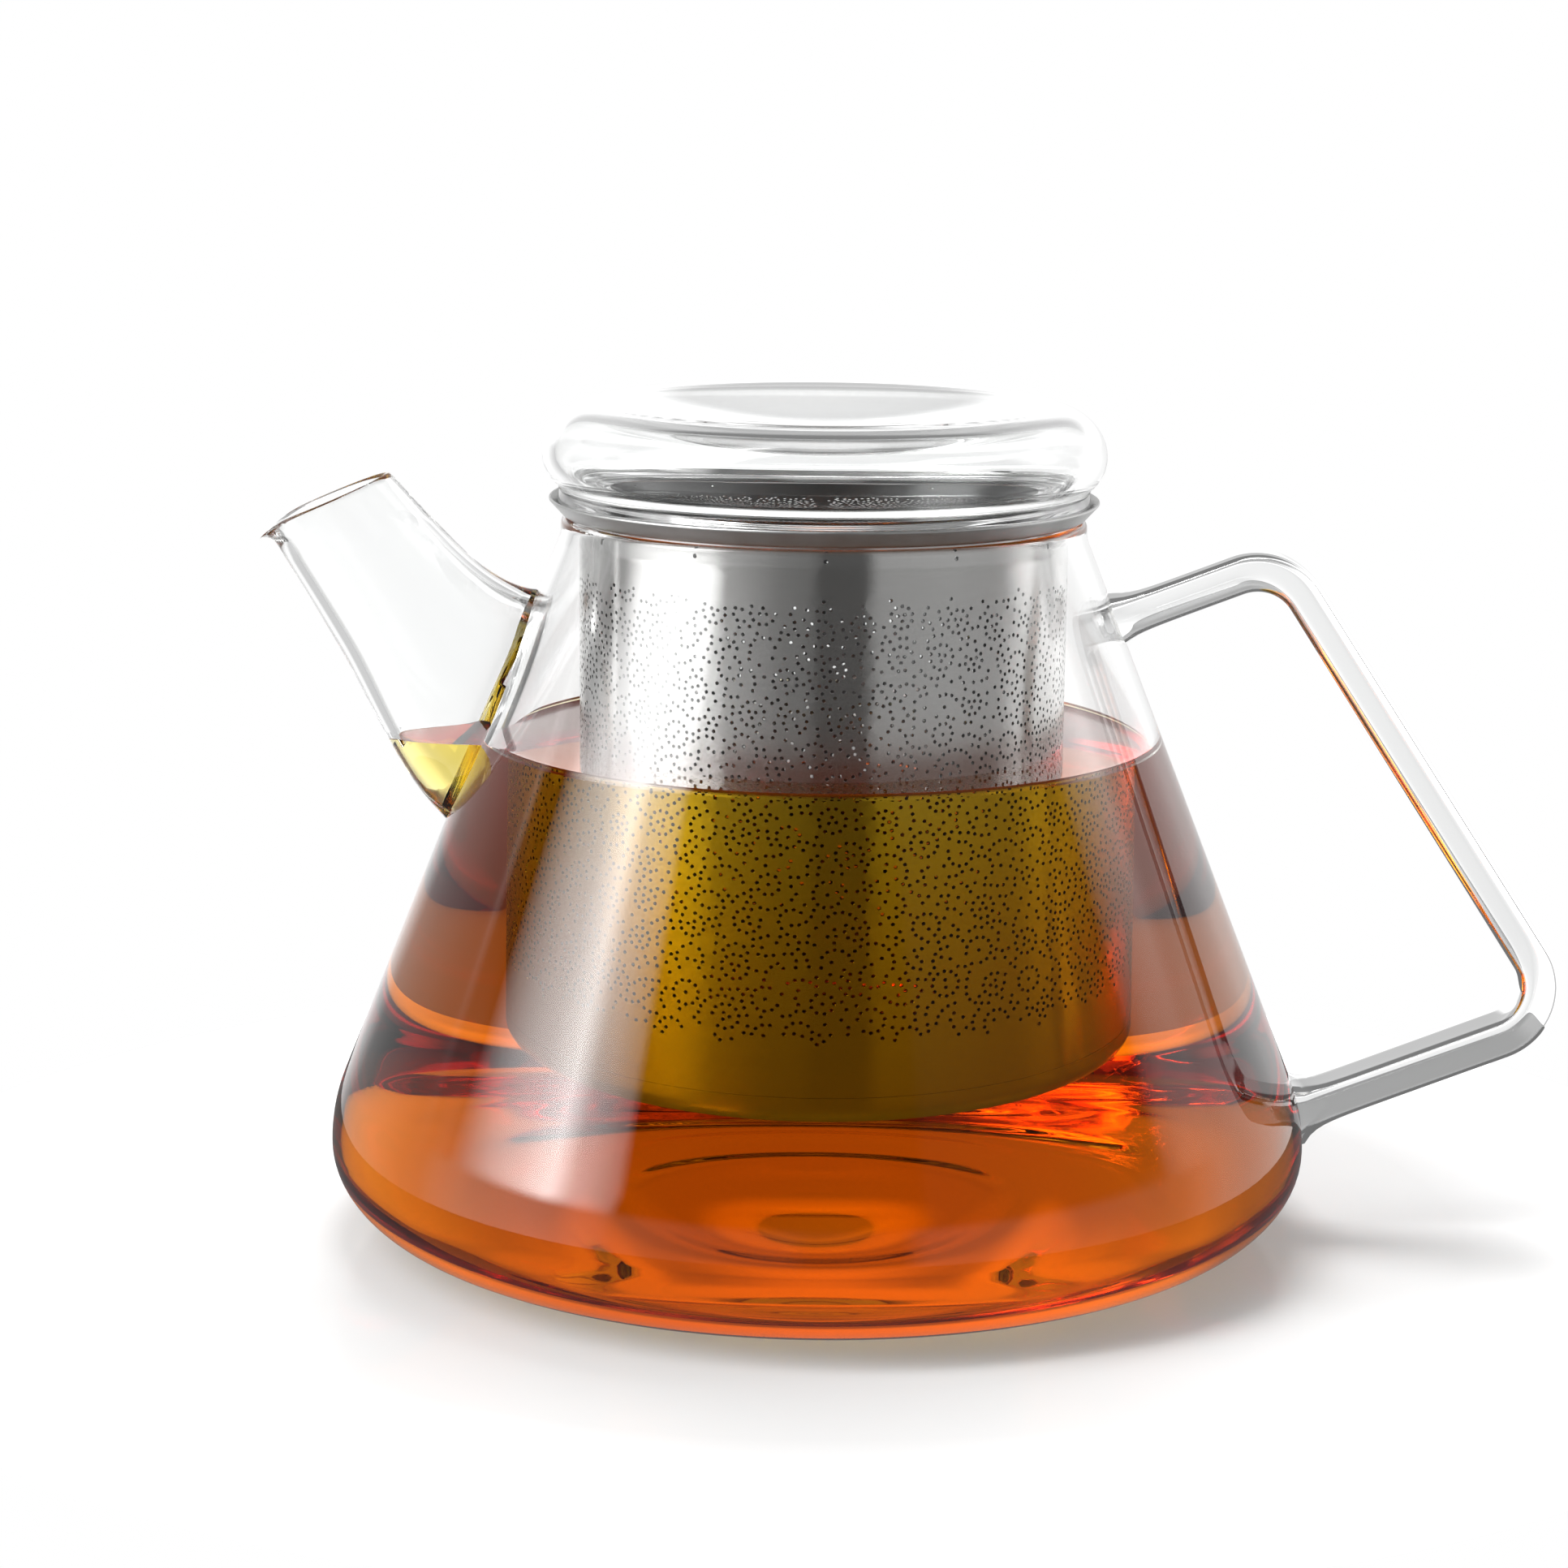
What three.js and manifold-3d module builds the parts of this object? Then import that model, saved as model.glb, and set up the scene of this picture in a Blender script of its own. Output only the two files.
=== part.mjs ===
// A glass infuser teapot: a conical vessel with a fused spout and handle, a perforated steel
// infuser basket that hangs from the rim, and a hollow blown glass lid.
// Millimetres, +Z up. The origin is the middle of the base, on the table. The handle is on +X
// and the spout on -X, so the whole pot is the same on both sides of the XZ plane.

import * as THREE from 'three';
import { mergeVertices } from 'three/addons/utils/BufferGeometryUtils.js';
import Module from 'manifold-3d';

const wasm = await Module();
wasm.setup();

// ---- Driving dimensions ----

const gap = 0.3; // clearance between neighbouring pieces
const roundSteps = 48; // facets round the pot's axis

const vessel = {
  wall: 2.2,
  baseThickness: 3,
  footRadius: 62, // flat part of the base
  bodyRadius: 82.5, // widest point
  bellyHeight: 15, // height of the widest point
  bellyRounding: 28, // from the widest point up into the cone
  neckRadius: 43.7,
  neckHeight: 119, // where the cone has turned into the neck
  neckRounding: 6,
  rimHeight: 120.7,
};

const basket = {
  radius: 40.5,
  sheet: 0.5,
  bottom: 26,
  floorRounding: 3,
  floorHeight: 4.4, // the pressed floor's upturned edge
  ventRadius: 0.45,
  ventCount: 12,
  ventBelowFlange: 2.4,
};

const collar = {
  sheet: 0.8,
  lipRadius: 45.7,
  lipHeight: 124.1,
  footRadius: 43.4, // where the flange turns up into the lip
};

const lid = {
  wall: 2.2,
  plugRadius: 38.9,
  plugBottom: 113.5,
  ringRadius: 44.4,
  ringHeight: 124.3,
  waistRadius: 43.9,
  waistHeight: 125.2,
  bulgeRadius: 46.8, // widest point
  bulgeHeight: 131.2,
  bulgeRounding: 6.5,
  crestRadius: 37,
  crestHeight: 139.7,
  dishHeight: 135.8, // middle of the top, which is a shallow dish
};

const spout = {
  wall: 2.2,
  mouthHalfWidth: 9.8, // across, along Y
  rootHalfWidth: 16,
  upperEdge: [[-72.3, 127.3], [-64.7, 119.2], [-56.5, 111.5], [-48.5, 107.2], [-38, 103.5]],
  lowerEdge: [[-94, 115.7], [-89.9, 113.4], [-80.7, 97.9], [-66.5, 73], [-54, 58]],
};

const handle = {
  width: 11, // along Y
  thickness: 6.6,
  cornerRadius: 9.5,
  // Centre line from the neck to the belly, as X and Z; both ends lie inside the vessel wall.
  route: [[46, 103], [75.9, 114.4], [126.9, 37.2], [76, 17.5]],
};

const weld = {
  depth: 2.2, // how far a fused joint stands out from the vessel
  spoutFlare: 2.2, // how far it spreads past the piece that it joins
  upperFlare: 1.2,
  lowerFlare: 2.4,
};

// ---- Materials ----

const glassMaterial = new THREE.MeshStandardMaterial({
  color: 0xe9f1f0,
  roughness: 0.04,
  metalness: 0,
  transparent: true,
  opacity: 0.35,
});
const sheetSteel = new THREE.MeshStandardMaterial({ color: 0xb3afa6, roughness: 0.34, metalness: 1 });
const collarSteel = new THREE.MeshStandardMaterial({ color: 0xc9c7c2, roughness: 0.22, metalness: 1 });

// ---- Shape helpers ----

// Points on an arc whose two radii may differ, from one angle to another in degrees.
function arc(x, y, radiusX, radiusY, from, to, steps) {
  const points = [];
  for (let step = 0; step <= steps; step += 1) {
    const angle = THREE.MathUtils.degToRad(from + ((to - from) * step) / steps);
    points.push(new THREE.Vector2(x + radiusX * Math.cos(angle), y + radiusY * Math.sin(angle)));
  }
  return points;
}

function point(radius, height) {
  return new THREE.Vector2(radius, height);
}

// A closed three.js geometry as a solid that can be cut and joined.
function solidOf(geometry) {
  geometry.deleteAttribute('normal');
  geometry.deleteAttribute('uv');
  const merged = mergeVertices(geometry, 1e-4);
  const corners = merged.index.array;
  const triangles = [];
  for (let first = 0; first < corners.length; first += 3) {
    const [a, b, c] = corners.subarray(first, first + 3);
    if (a !== b && b !== c && c !== a) {
      triangles.push(a, b, c);
    }
  }
  return new wasm.Manifold(
    new wasm.Mesh({
      numProp: 3,
      vertProperties: new Float32Array(merged.attributes.position.array),
      triVerts: new Uint32Array(triangles),
    }),
  );
}

function geometryOf(solid) {
  const mesh = solid.getMesh();
  const geometry = new THREE.BufferGeometry();
  geometry.setAttribute('position', new THREE.BufferAttribute(mesh.vertProperties, 3));
  geometry.setIndex(new THREE.BufferAttribute(mesh.triVerts, 1));
  geometry.computeVertexNormals();
  return geometry;
}

// A profile of radius and height turned round the pot's axis.
function turned(profile) {
  const geometry = new THREE.LatheGeometry(profile, roundSteps);
  geometry.rotateX(Math.PI / 2);
  return solidOf(geometry);
}

// A closed skin over rings of points, each ring with the same number of points.
function lofted(rings) {
  const count = rings[0].length;
  const positions = rings.flat().flatMap((corner) => [corner.x, corner.y, corner.z]);
  const index = [];
  for (let ring = 0; ring + 1 < rings.length; ring += 1) {
    for (let side = 0; side < count; side += 1) {
      const next = (side + 1) % count;
      const low = ring * count;
      const high = low + count;
      index.push(low + side, low + next, high + next, low + side, high + next, high + side);
    }
  }
  const last = (rings.length - 1) * count;
  for (let side = 1; side + 1 < count; side += 1) {
    index.push(0, side + 1, side, last, last + side, last + side + 1);
  }
  const geometry = new THREE.BufferGeometry();
  geometry.setAttribute('position', new THREE.Float32BufferAttribute(positions, 3));
  geometry.setIndex(index);
  return solidOf(geometry);
}

// ---- Vessel ----

// The vessel's outline from the foot to the neck, moved outwards by offset.
function vesselOutline(offset, bottom) {
  const belly = point(vessel.bodyRadius - vessel.bellyRounding, vessel.bellyHeight);
  const neck = point(vessel.neckRadius + vessel.neckRounding, vessel.neckHeight);
  const span = neck.clone().sub(belly);
  // The cone is the line that touches both roundings, one from each side.
  const lean = span.angle() - Math.acos((vessel.bellyRounding + vessel.neckRounding) / span.length());
  const slope = THREE.MathUtils.radToDeg(lean);
  const footReach = vessel.bodyRadius - vessel.footRadius + offset;
  const bellyReach = vessel.bellyRounding + offset;
  const neckReach = vessel.neckRounding - offset;
  return [
    ...arc(vessel.footRadius, vessel.bellyHeight, footReach, vessel.bellyHeight - bottom, -90, 0, 8),
    ...arc(belly.x, belly.y, bellyReach, bellyReach, 0, slope, 3).slice(1),
    ...arc(neck.x, neck.y, neckReach, neckReach, 180 + slope, 180, 2),
  ];
}

// Everything inside the vessel's outside surface, moved outwards by offset.
function vesselBlock(offset) {
  const top = vessel.rimHeight + 20;
  return turned([
    point(0, -offset),
    ...vesselOutline(offset, -offset),
    point(vessel.neckRadius + offset, top),
    point(0, top),
  ]);
}

function vesselShell() {
  const rim = vessel.wall / 2;
  return turned([
    point(0, 0),
    ...vesselOutline(0, 0),
    ...arc(vessel.neckRadius - rim, vessel.rimHeight - rim, rim, rim, 0, 180, 4),
    ...vesselOutline(-vessel.wall, vessel.baseThickness).reverse(),
    point(0, vessel.baseThickness),
  ]);
}

// ---- Spout ----

// The spout as a stack of oval rings between its upper and its lower edge. A ring is made
// smaller all round by inset, and the mouth ring is moved out of the spout by overshoot.
function spoutBlock(inset, overshoot) {
  const sections = 12;
  const ringPoints = 24;
  const upper = new THREE.SplineCurve(spout.upperEdge.map(([x, z]) => point(x, z)));
  const lower = new THREE.SplineCurve(spout.lowerEdge.map(([x, z]) => point(x, z)));
  const rings = [];
  for (let section = 0; section <= sections; section += 1) {
    const along = section / sections;
    const top = upper.getPoint(along);
    const bottom = lower.getPoint(along);
    const centre = top.clone().add(bottom).divideScalar(2);
    const rise = top.clone().sub(centre);
    rise.setLength(rise.length() - inset);
    const widening = THREE.MathUtils.smoothstep(along, 0, 1);
    const halfWidth = THREE.MathUtils.lerp(spout.mouthHalfWidth, spout.rootHalfWidth, widening) - inset;
    if (section === 0) {
      const outwards = point(-rise.y, rise.x).setLength(overshoot);
      centre.add(outwards);
    }
    rings.push(
      arc(0, 0, 1, 1, 0, 360, ringPoints)
        .slice(1)
        .map((round) => new THREE.Vector3(
          centre.x + rise.x * round.y,
          halfWidth * round.x,
          centre.y + rise.y * round.y,
        )),
    );
  }
  return lofted(rings);
}

function spoutTube() {
  const tube = spoutBlock(0, 0).subtract(spoutBlock(spout.wall, 1));
  return tube.subtract(vesselBlock(weld.depth + 2 * gap));
}

// ---- Handle ----

// The handle's centre line: straight runs joined by round corners.
function handleLine() {
  const corners = handle.route.map(([x, z]) => point(x, z));
  const line = new THREE.Path();
  line.moveTo(corners[0].x, corners[0].y);
  for (let corner = 1; corner + 1 < corners.length; corner += 1) {
    const before = corners[corner].clone().sub(corners[corner - 1]).normalize();
    const after = corners[corner + 1].clone().sub(corners[corner]).normalize();
    const reach = handle.cornerRadius * Math.tan(Math.acos(before.dot(after)) / 2);
    const start = corners[corner].clone().addScaledVector(before, -reach);
    const inwards = point(before.y, -before.x);
    const centre = start.clone().addScaledVector(inwards, handle.cornerRadius);
    const startAngle = Math.atan2(-inwards.y, -inwards.x);
    const endAngle = Math.atan2(after.x, -after.y);
    line.lineTo(start.x, start.y);
    line.absarc(centre.x, centre.y, handle.cornerRadius, startAngle, endAngle, true);
  }
  line.lineTo(corners.at(-1).x, corners.at(-1).y);
  return line;
}

// A flat path drawn with x and y, stood upright in the XZ plane.
class UprightCurve extends THREE.Curve {
  constructor(path) {
    super();
    this.path = path;
  }

  getPoint(along, target = new THREE.Vector3()) {
    const place = this.path.getPointAt(along);
    return target.set(place.x, 0, place.y);
  }
}

// A bar with two flat sides and two round ones.
function barSection(width, thickness) {
  const end = thickness / 2;
  const flat = width / 2 - end;
  return new THREE.Shape([
    ...arc(flat, 0, end, end, -90, 90, 7),
    ...arc(-flat, 0, end, end, 90, 270, 7),
  ]);
}

function handleBand() {
  const geometry = new THREE.ExtrudeGeometry(barSection(handle.width, handle.thickness), {
    steps: 56,
    bevelEnabled: false,
    extrudePath: new UprightCurve(handleLine()),
  });
  return solidOf(geometry).subtract(vesselBlock(weld.depth + 2 * gap));
}

// ---- Fused joints ----

// The part of a block that lies in the thin layer over the vessel where glass is fused on.
function fusedLayer(block) {
  return block.intersect(vesselBlock(weld.depth + gap)).subtract(vesselBlock(gap));
}

function spoutWeld() {
  return fusedLayer(spoutBlock(-weld.spoutFlare, 0)).subtract(spoutBlock(spout.wall, 1));
}

// A handle joint: the band's end run, thickened by flare.
function handleWeld(wallEnd, corner, flare) {
  const start = new THREE.Vector3(wallEnd[0], 0, wallEnd[1]);
  const end = new THREE.Vector3(corner[0], 0, corner[1]);
  const section = barSection(handle.width + 2 * flare, handle.thickness + 2 * flare);
  const geometry = new THREE.ExtrudeGeometry(section, {
    steps: 1,
    bevelEnabled: false,
    extrudePath: new THREE.LineCurve3(start, end),
  });
  return fusedLayer(solidOf(geometry));
}

// ---- Infuser basket ----

const flangeBottom = vessel.rimHeight + gap;
const sleeveBottom = basket.bottom + basket.floorHeight + gap;

function basketSleeve() {
  const inner = basket.radius - basket.sheet;
  const top = flangeBottom - gap;
  let sleeve = turned([
    point(inner, sleeveBottom),
    point(basket.radius, sleeveBottom),
    point(basket.radius, top),
    point(inner, top),
    point(inner, sleeveBottom),
  ]);
  for (let vent = 0; vent < basket.ventCount; vent += 1) {
    const drill = new THREE.CylinderGeometry(basket.ventRadius, basket.ventRadius, 6, 8);
    drill.translate(0, basket.radius, 0);
    drill.rotateZ((vent / basket.ventCount) * 2 * Math.PI);
    drill.translate(0, 0, flangeBottom - basket.ventBelowFlange);
    sleeve = sleeve.subtract(solidOf(drill));
  }
  return sleeve;
}

// The floor is pressed from sheet with a rounded, upturned edge.
function basketFloor() {
  const turn = basket.floorRounding;
  const edge = basket.bottom + basket.floorHeight;
  const corner = point(basket.radius - turn, basket.bottom + turn);
  const innerTurn = turn - basket.sheet;
  return turned([
    point(0, basket.bottom),
    ...arc(corner.x, corner.y, turn, turn, -90, 0, 4),
    point(basket.radius, edge),
    point(basket.radius - basket.sheet, edge),
    ...arc(corner.x, corner.y, innerTurn, innerTurn, 0, -90, 4),
    point(0, basket.bottom + basket.sheet),
  ]);
}

// The collar rests on the glass rim with a flat flange, then flares up and out to its lip.
function collarRing() {
  const flangeInner = basket.radius - basket.sheet;
  const flangeTop = flangeBottom + collar.sheet;
  return turned([
    point(flangeInner, flangeBottom),
    point(collar.footRadius, flangeBottom),
    point(collar.lipRadius, collar.lipHeight - collar.sheet / 2),
    point(collar.lipRadius - collar.sheet / 2, collar.lipHeight),
    point(collar.lipRadius - collar.sheet, collar.lipHeight - collar.sheet / 2),
    point(collar.footRadius - collar.sheet / 2, flangeTop),
    point(flangeInner, flangeTop),
    point(flangeInner, flangeBottom),
  ]);
}

// ---- Lid ----

// The bulge of the lid, from the waist over the crest to the dish, made thinner by inset.
function lidBulge(inset) {
  const waist = point(lid.waistRadius - inset, lid.waistHeight);
  const bulge = point(lid.bulgeRadius - inset, lid.bulgeHeight);
  const crest = point(lid.crestRadius, lid.crestHeight - inset);
  const under = lid.bulgeRounding - inset;
  return [
    waist,
    ...arc(bulge.x - under, bulge.y, under, under, -50, 0, 4),
    ...arc(crest.x, bulge.y, bulge.x - crest.x, crest.y - bulge.y, 0, 90, 8).slice(1),
    point(30, lid.crestHeight - 0.8 - inset),
    point(15, lid.dishHeight + 0.8 - inset),
    point(0, lid.dishHeight - inset),
  ];
}

function lidShell() {
  const seat = flangeBottom + collar.sheet + gap;
  const plugInner = lid.plugRadius - lid.wall;
  const outside = [
    point(plugInner, lid.plugBottom),
    point(lid.plugRadius, lid.plugBottom),
    point(lid.plugRadius, seat - 0.6),
    point(lid.plugRadius + 0.6, seat),
    point(lid.ringRadius - 2, seat),
    point(lid.ringRadius - 0.9, seat + 0.7),
    point(lid.ringRadius, lid.ringHeight),
    ...lidBulge(0),
  ];
  const inside = [
    ...lidBulge(lid.wall).reverse(),
    point(lid.waistRadius - lid.wall, lid.ringHeight),
    point(plugInner, seat + 0.4),
    point(plugInner, lid.plugBottom),
  ];
  return turned([...outside, ...inside]);
}

// ---- Assembly ----

const pieces = {
  glass_vessel: [vesselShell().subtract(spoutBlock(spout.wall, 1)), glassMaterial],
  spout_tube: [spoutTube(), glassMaterial],
  spout_weld: [spoutWeld(), glassMaterial],
  handle_band: [handleBand(), glassMaterial],
  handle_weld_upper: [handleWeld(handle.route[0], handle.route[1], weld.upperFlare), glassMaterial],
  handle_weld_lower: [handleWeld(handle.route[3], handle.route[2], weld.lowerFlare), glassMaterial],
  basket_sleeve: [basketSleeve(), sheetSteel],
  basket_floor: [basketFloor(), sheetSteel],
  collar_ring: [collarRing(), collarSteel],
  lid_shell: [lidShell(), glassMaterial],
};

const teapot = new THREE.Group();
for (const [name, [solid, material]] of Object.entries(pieces)) {
  const mesh = new THREE.Mesh(geometryOf(solid), material);
  mesh.name = name;
  teapot.add(mesh);
}

export default teapot;
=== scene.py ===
"""A glass infuser teapot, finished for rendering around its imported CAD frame. Metres, +Z up."""

import math
import random

import bmesh
import bpy
from mathutils import Matrix, Vector
from mathutils.geometry import delaunay_2d_cdt


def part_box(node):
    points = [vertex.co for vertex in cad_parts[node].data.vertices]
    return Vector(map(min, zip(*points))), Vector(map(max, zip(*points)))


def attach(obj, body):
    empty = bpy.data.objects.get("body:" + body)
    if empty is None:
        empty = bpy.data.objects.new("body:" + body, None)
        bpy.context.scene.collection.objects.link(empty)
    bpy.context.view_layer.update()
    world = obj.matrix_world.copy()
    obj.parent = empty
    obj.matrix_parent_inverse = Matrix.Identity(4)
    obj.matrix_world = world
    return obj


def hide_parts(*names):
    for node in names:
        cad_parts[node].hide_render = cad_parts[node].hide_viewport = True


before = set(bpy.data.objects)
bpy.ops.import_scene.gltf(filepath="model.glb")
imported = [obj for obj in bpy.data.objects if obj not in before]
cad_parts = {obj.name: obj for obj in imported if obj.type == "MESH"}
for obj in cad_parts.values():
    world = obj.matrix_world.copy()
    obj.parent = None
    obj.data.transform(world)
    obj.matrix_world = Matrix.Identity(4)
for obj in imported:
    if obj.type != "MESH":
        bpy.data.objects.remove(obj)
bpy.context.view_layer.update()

MM = 0.001

# ---- Sizes: the overall ones come from the CAD frame, the rest repeat the CAD model's ----

VESSEL_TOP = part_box("glass_vessel")[1]
SLEEVE_LOW, SLEEVE_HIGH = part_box("basket_sleeve")
BASKET_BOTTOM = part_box("basket_floor")[0].z
COLLAR_LOW, COLLAR_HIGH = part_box("collar_ring")
LID_LOW, LID_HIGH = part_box("lid_shell")

BODY_RADIUS = VESSEL_TOP.x
RIM_HEIGHT = VESSEL_TOP.z
FOOT_RADIUS = 62 * MM
BELLY_HEIGHT = 15 * MM
BELLY_ROUNDING = 28 * MM
NECK_RADIUS = 43.7 * MM
NECK_HEIGHT = 119 * MM
NECK_ROUNDING = 6 * MM
WALL = 2.2 * MM
BASE_THICKNESS = 3 * MM
HOLLOW_RADIUS = 56 * MM  # of the hollow under the base
HOLLOW_DEPTH = 0.9 * MM
FLOOR_RADIUS = 54 * MM  # of the uneven part of the floor inside
PAN_DEPTH = 0.8 * MM

TEA_LEVEL = 83.2 * MM
TEA_OVERLAP = 0.25 * MM  # the tea reaches this far into the glass, so that no air film shows
MENISCUS_RISE = 1.1 * MM
MENISCUS_REACH = 0.9 * MM
TEA_IOR = 1.333
GLASS_IOR = 1.47

BASKET_RADIUS = SLEEVE_HIGH.x
BASKET_SHEET = 0.5 * MM

# The spout's edges and the handle's route are pairs of X and Z in millimetres, in the plane of the pot.
SPOUT_UPPER_EDGE = [(-72.3, 127.3), (-64.7, 119.2), (-56.5, 111.5), (-48.5, 107.2), (-38, 103.5)]
SPOUT_LOWER_EDGE = [(-93, 118.4), (-89.9, 113.4), (-80.7, 97.9), (-66, 72.2), (-50, 66)]
SPOUT_MOUTH_HALF_WIDTH = 9.8 * MM
SPOUT_ROOT_HALF_WIDTH = 11.5 * MM
SPOUT_LIP = 1.1 * MM  # the wall at the mouth
SPOUT_BEAK = Vector((-1.4, 0, -2.9)) * MM  # how far the mouth is drawn out at its lowest point
SPOUT_SECTIONS = 44
SPOUT_POINTS = 72  # round each section

HANDLE_ROUTE = [(46, 103), (75.9, 114.4), (126.9, 37.2), (76, 17.5)]
HANDLE_CORNER = 9.5 * MM
HANDLE_HALF_WIDTH = 5.5 * MM
HANDLE_HALF_THICKNESS = 3.3 * MM
HANDLE_SQUARENESS = 4.5  # 2 would be an oval, and a large number a rectangle
HANDLE_UPPER_FLARE = 1.4 * MM
HANDLE_LOWER_FLARE = 2.6 * MM

COLLAR_SHEET = 0.8 * MM
COLLAR_FOOT = 43.4 * MM  # the radius where the flange turns up
COLLAR_LIP_ROUNDING = 0.25 * MM

LID_WALL = 2.2 * MM
LID_PLUG_RADIUS = 38.9 * MM
LID_SEAT = COLLAR_LOW.z + 1.1 * MM  # the height of the ring that rests on the collar
LID_SEAT_RADIUS = 42.8 * MM
LID_SEAT_ROUNDING = 1.5 * MM
LID_WAIST = (43.9 * MM, 125.2 * MM)
LID_BULGE = (37 * MM, 131.2 * MM)  # the middle of the bulge's upper curve
LID_BULGE_ROUNDING = 6.5 * MM
LID_DISH_DEPTH = 3.9 * MM

CAMERA_PLACE = (-0.0062, -0.659, 0.204)
CAMERA_TILT = 11.06  # degrees down
CAMERA_ROLL = 0.57  # degrees
CAMERA_LENS = 91.5  # millimetres, on a 36 mm sensor
TABLE_RADIUS = 0.17

AXIS_STEPS = 192  # facets round the pot's axis
PROFILE_STEP = 1.6 * MM


# ---- Meshes ----

def mesh_piece(name, corners, faces, smooth=True):
    """A mesh object from its corners and faces."""
    mesh = bpy.data.meshes.new(name)
    mesh.from_pydata([tuple(corner) for corner in corners], [], faces)
    mesh.validate()
    mesh.update()
    if smooth:
        mesh.shade_smooth()
    piece = bpy.data.objects.new(name, mesh)
    bpy.context.scene.collection.objects.link(piece)
    return piece


def sharpen(piece, degrees=38):
    """Edges steeper than this stay crisp, and all the others are smooth."""
    piece.data.set_sharp_from_angle(angle=math.radians(degrees))
    return piece


def arc(centre, radii, start, end, steps):
    """Points on an arc, from one angle to another in degrees."""
    angles = [math.radians(start + (end - start) * step / steps) for step in range(steps + 1)]
    return [(centre[0] + radii[0] * math.cos(a), centre[1] + radii[1] * math.sin(a)) for a in angles]


def even(profile, step=PROFILE_STEP):
    """The same outline with its long runs cut into short ones."""
    result = [profile[0]]
    for before, after in zip(profile, profile[1:]):
        count = max(1, math.ceil(math.dist(before, after) / step))
        for part in range(1, count + 1):
            share = part / count
            result.append(tuple(a + (b - a) * share for a, b in zip(before, after)))
    return result


def circle_angles():
    return [2 * math.pi * step / AXIS_STEPS for step in range(AXIS_STEPS)]


def turned(name, profile):
    """A profile of radius and height turned round the pot's axis.
    It starts and ends on the axis, or it is a closed loop that leaves out its last point."""
    corners = []
    rings = []
    for radius, height in profile:
        if radius < 1e-7:
            rings.append([len(corners)])
            corners.append((0, 0, height))
            continue
        rings.append(list(range(len(corners), len(corners) + AXIS_STEPS)))
        for angle in circle_angles():
            corners.append((radius * math.cos(angle), radius * math.sin(angle), height))
    on_axis = len(rings[0]) == 1
    pairs = list(zip(rings, rings[1:])) if on_axis else list(zip(rings, rings[1:] + rings[:1]))
    faces = []
    for low, high in pairs:
        for step in range(AXIS_STEPS):
            after = (step + 1) % AXIS_STEPS
            if len(low) == 1:
                faces.append((low[0], high[after], high[step]))
            elif len(high) == 1:
                faces.append((low[step], low[after], high[0]))
            else:
                faces.append((low[step], low[after], high[after], high[step]))
    return mesh_piece(name, corners, faces)


def lofted(name, rings):
    """A closed skin over rings of points, with a flat end at each side."""
    count = len(rings[0])
    corners = [corner for ring in rings for corner in ring]
    faces = [tuple(range(count))[::-1]]
    for ring in range(len(rings) - 1):
        low, high = ring * count, (ring + 1) * count
        for side in range(count):
            after = (side + 1) % count
            faces.append((low + side, low + after, high + after, high + side))
    last = (len(rings) - 1) * count
    faces.append(tuple(range(last, last + count)))
    return mesh_piece(name, corners, faces)


def carve(piece, tool, operation):
    """Joins tool to piece, cuts it away, or keeps what both share. The tool is used up."""
    modifier = piece.modifiers.new(operation, "BOOLEAN")
    modifier.operation = operation
    modifier.solver = "MANIFOLD"
    modifier.object = tool
    evaluated = piece.evaluated_get(bpy.context.evaluated_depsgraph_get())
    mesh = bpy.data.meshes.new_from_object(evaluated)
    piece.modifiers.clear()
    piece.data = mesh
    bpy.data.objects.remove(tool)
    return piece


# ---- Glass vessel with its spout and handle, one fused piece ----

def vessel_outline(offset, bottom):
    """The outline from the foot to the neck, moved outwards by offset, as in the CAD model."""
    belly = Vector((BODY_RADIUS - BELLY_ROUNDING, BELLY_HEIGHT))
    neck = Vector((NECK_RADIUS + NECK_ROUNDING, NECK_HEIGHT))
    span = neck - belly
    lean = math.atan2(span.y, span.x) - math.acos((BELLY_ROUNDING + NECK_ROUNDING) / span.length)
    slope = math.degrees(lean)
    foot_reach = (BODY_RADIUS - FOOT_RADIUS + offset, BELLY_HEIGHT - bottom)
    return (
        arc((FOOT_RADIUS, BELLY_HEIGHT), foot_reach, -90, 0, 20)
        + arc(belly, (BELLY_ROUNDING + offset,) * 2, 0, slope, 8)[1:]
        + arc(neck, (NECK_ROUNDING - offset,) * 2, 180 + slope, 180, 8)
    )


OUTLINE = vessel_outline(0, 0)


def outside_vessel(point):
    """How far a point is outside the vessel's wall, sideways."""
    height = min(max(point.z, OUTLINE[0][1]), RIM_HEIGHT)
    radius = OUTLINE[-1][0]
    for (r0, z0), (r1, z1) in zip(OUTLINE, OUTLINE[1:]):
        if z0 <= height <= z1 and z1 > z0:
            radius = r0 + (r1 - r0) * (height - z0) / (z1 - z0)
            break
    return math.hypot(point.x, point.y) - radius


def flared(ring, centre, flare, reach):
    """A ring of points, spread out from its centre where it comes close to the vessel's wall."""
    result = []
    for point in ring:
        outwards = point - centre
        near = math.exp(-max(0, outside_vessel(point)) / reach)
        result.append(point + outwards.normalized() * flare * near)
    return result


def vessel_core(offset):
    """Everything inside the vessel, up to offset from its outside surface."""
    bottom = BASE_THICKNESS if offset < 0 else 0
    top = RIM_HEIGHT + 20 * MM
    outline = vessel_outline(offset, bottom)
    return turned("core", even([(0, bottom)] + outline + [(outline[-1][0], top), (0, top)]))


def base_steps(edge):
    """Radii from the middle out to the edge, close together."""
    count = 56
    return [edge * step / count for step in range(count + 1)]


def base_hollow(radius):
    """How far the pot's underside is above the table."""
    return HOLLOW_DEPTH * max(0, 1 - (radius / HOLLOW_RADIUS) ** 2)


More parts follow.
